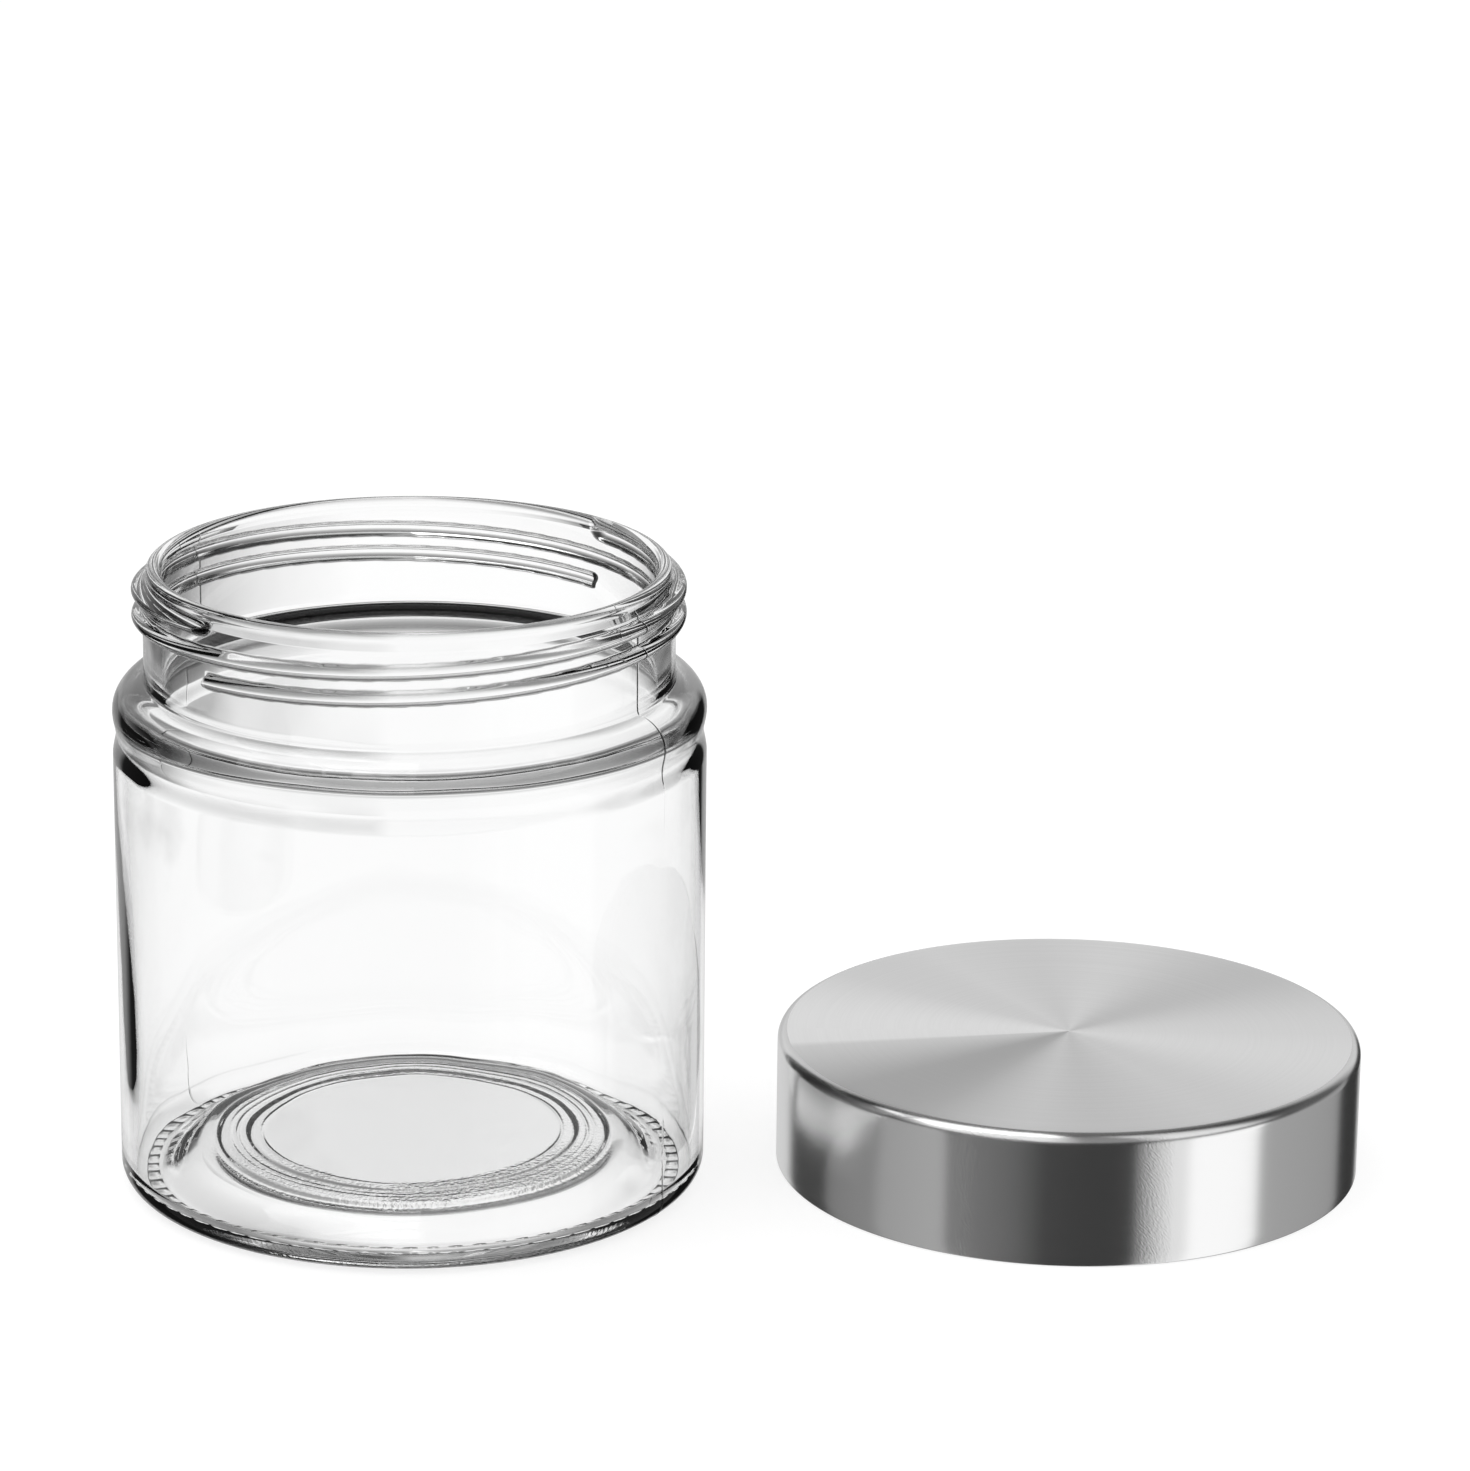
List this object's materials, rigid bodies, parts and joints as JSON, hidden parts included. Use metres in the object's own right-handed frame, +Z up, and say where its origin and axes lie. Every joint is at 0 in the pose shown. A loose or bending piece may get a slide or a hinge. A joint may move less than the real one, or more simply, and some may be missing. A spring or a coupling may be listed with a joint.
{
  "type": "screw-top glass jar",
  "caption": "Wide-mouth clear glass storage jar with a threaded neck and its steel-clad screw lid lying beside it.",
  "frame": {"origin": "centre of the jar's base, on the table", "axes": "+Z up along the jar's axis out of its mouth, +X towards the lid that lies beside the jar"},
  "size_m": [0.2342, 0.1179, 0.1186],
  "materials": {
    "clear_glass": "clear, polished",
    "brushed_steel": "circularly brushed top, polished skirt",
    "insert_plastic": "moulded, satin",
    "seal_silicone": "soft, matt"
  },
  "bodies": {
    "jar": {"jar_glass": "clear_glass"},
    "seal": {"seal_ring": "seal_silicone"},
    "lid": {"lid_shell": "brushed_steel", "thread_insert": "insert_plastic"}
  },
  "joints": [
    {"name": "lid_lift", "type": "slide", "parent": "jar", "child": "seal", "axis": [0, 0, 1], "range_m": [0, 0.16]},
    {"name": "lid_turn", "type": "hinge", "parent": "seal", "child": "lid", "pos_m": [0.12396, 0.00771, 0], "axis": [0, 0, 1], "continuous": true}
  ]
}
